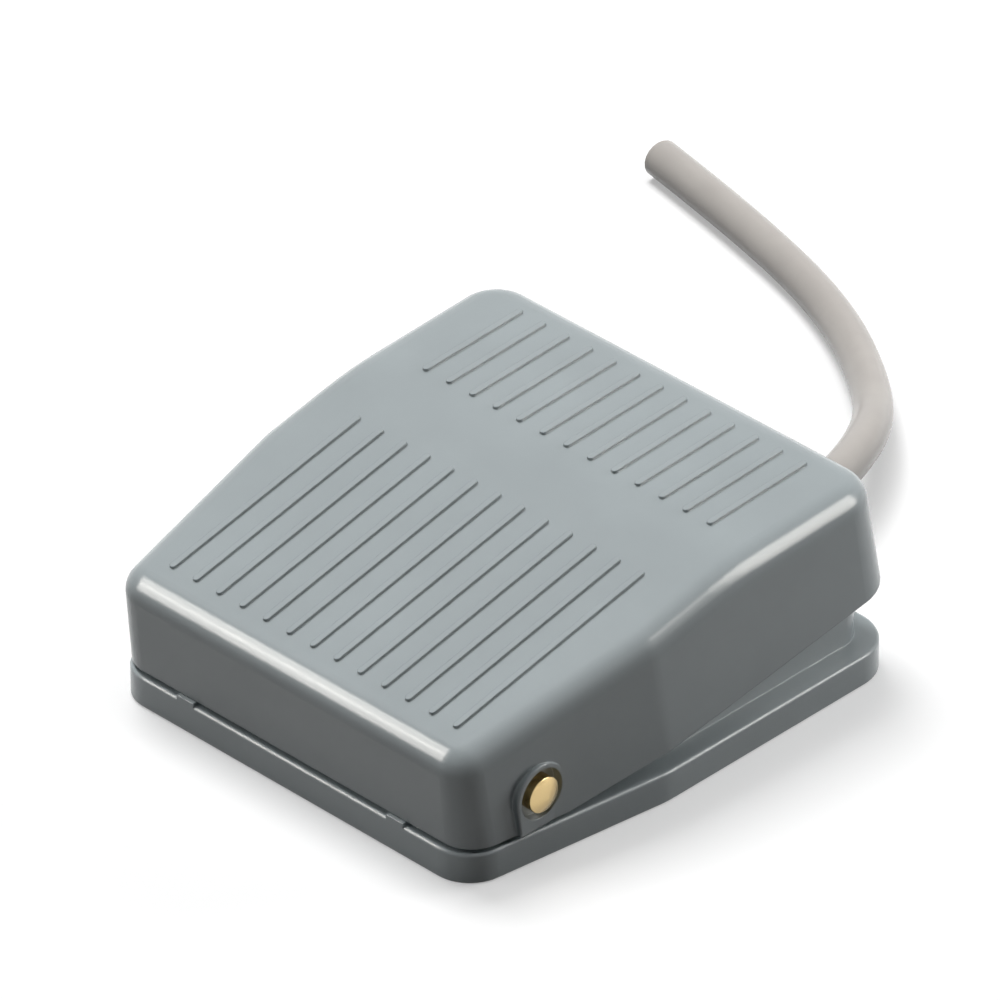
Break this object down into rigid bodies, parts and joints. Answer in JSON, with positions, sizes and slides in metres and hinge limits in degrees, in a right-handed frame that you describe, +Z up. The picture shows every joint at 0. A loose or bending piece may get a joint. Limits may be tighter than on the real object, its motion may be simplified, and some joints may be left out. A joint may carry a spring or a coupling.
{
  "type": "foot switch",
  "caption": "Low foot switch: a ribbed, sprung pedal hinged on a brass pin at the toe of a flat base presses a snap switch; a round cord leaves at the heel.",
  "frame": {"origin": "middle of the base's length and width, on the floor that the sole rests on", "axes": "+Z up, -Y towards the toe end with the pivot, +Y towards the heel end with the cord, +X along the pivot pin to its head"},
  "size_m": [0.1141, 0.1547, 0.0328],
  "materials": {
    "grey_plastic": "satin moulded",
    "pedal_plastic": "satin moulded",
    "sole_rubber": "matt",
    "brass": "polished",
    "white_plastic": "plain",
    "switch_plastic": "matt",
    "plunger_plastic": "smooth",
    "spring_steel": "drawn wire",
    "screw_steel": "zinc plated",
    "wire_brown": "smooth insulation",
    "wire_blue": "smooth insulation",
    "cord_sheath": "smooth flexible sheath"
  },
  "bodies": {
    "base": {"base": "grey_plastic", "sole": "sole_rubber", "pivot_pin": "brass", "pivot_cap": "brass", "pivot_washers": "white_plastic", "return_spring": "spring_steel", "stop_pads": "sole_rubber", "switch_case": "switch_plastic", "switch_cover": "switch_plastic", "switch_screws": "screw_steel", "terminal_common": "brass", "terminal_open": "brass", "terminal_closed": "brass", "receptacles": "screw_steel", "wire_live": "wire_brown", "wire_return": "wire_blue", "cord_clamp": "white_plastic", "clamp_screws": "screw_steel", "cord_boot": "cord_sheath", "cord": "cord_sheath"},
    "pedal": {"pedal": "pedal_plastic"},
    "plunger": {"switch_plunger": "plunger_plastic"}
  },
  "joints": [
    {"name": "pedal_hinge", "type": "hinge", "parent": "base", "child": "pedal", "pos_m": [0, -0.0283, 0.0111], "axis": [1, 0, 0], "range_deg": [-7, 0], "stiffness_Nm_per_rad": 1.2, "springref_deg": 20.05, "deforming": ["return_spring"]},
    {"name": "plunger_slide", "type": "slide", "parent": "base", "child": "plunger", "axis": [0, 0, 1], "range_m": [-0.0017, 0]}
  ],
  "couplings": [
    {"joint": "plunger_slide", "follows": "pedal_hinge", "m_per_rad": 0.01338}
  ]
}
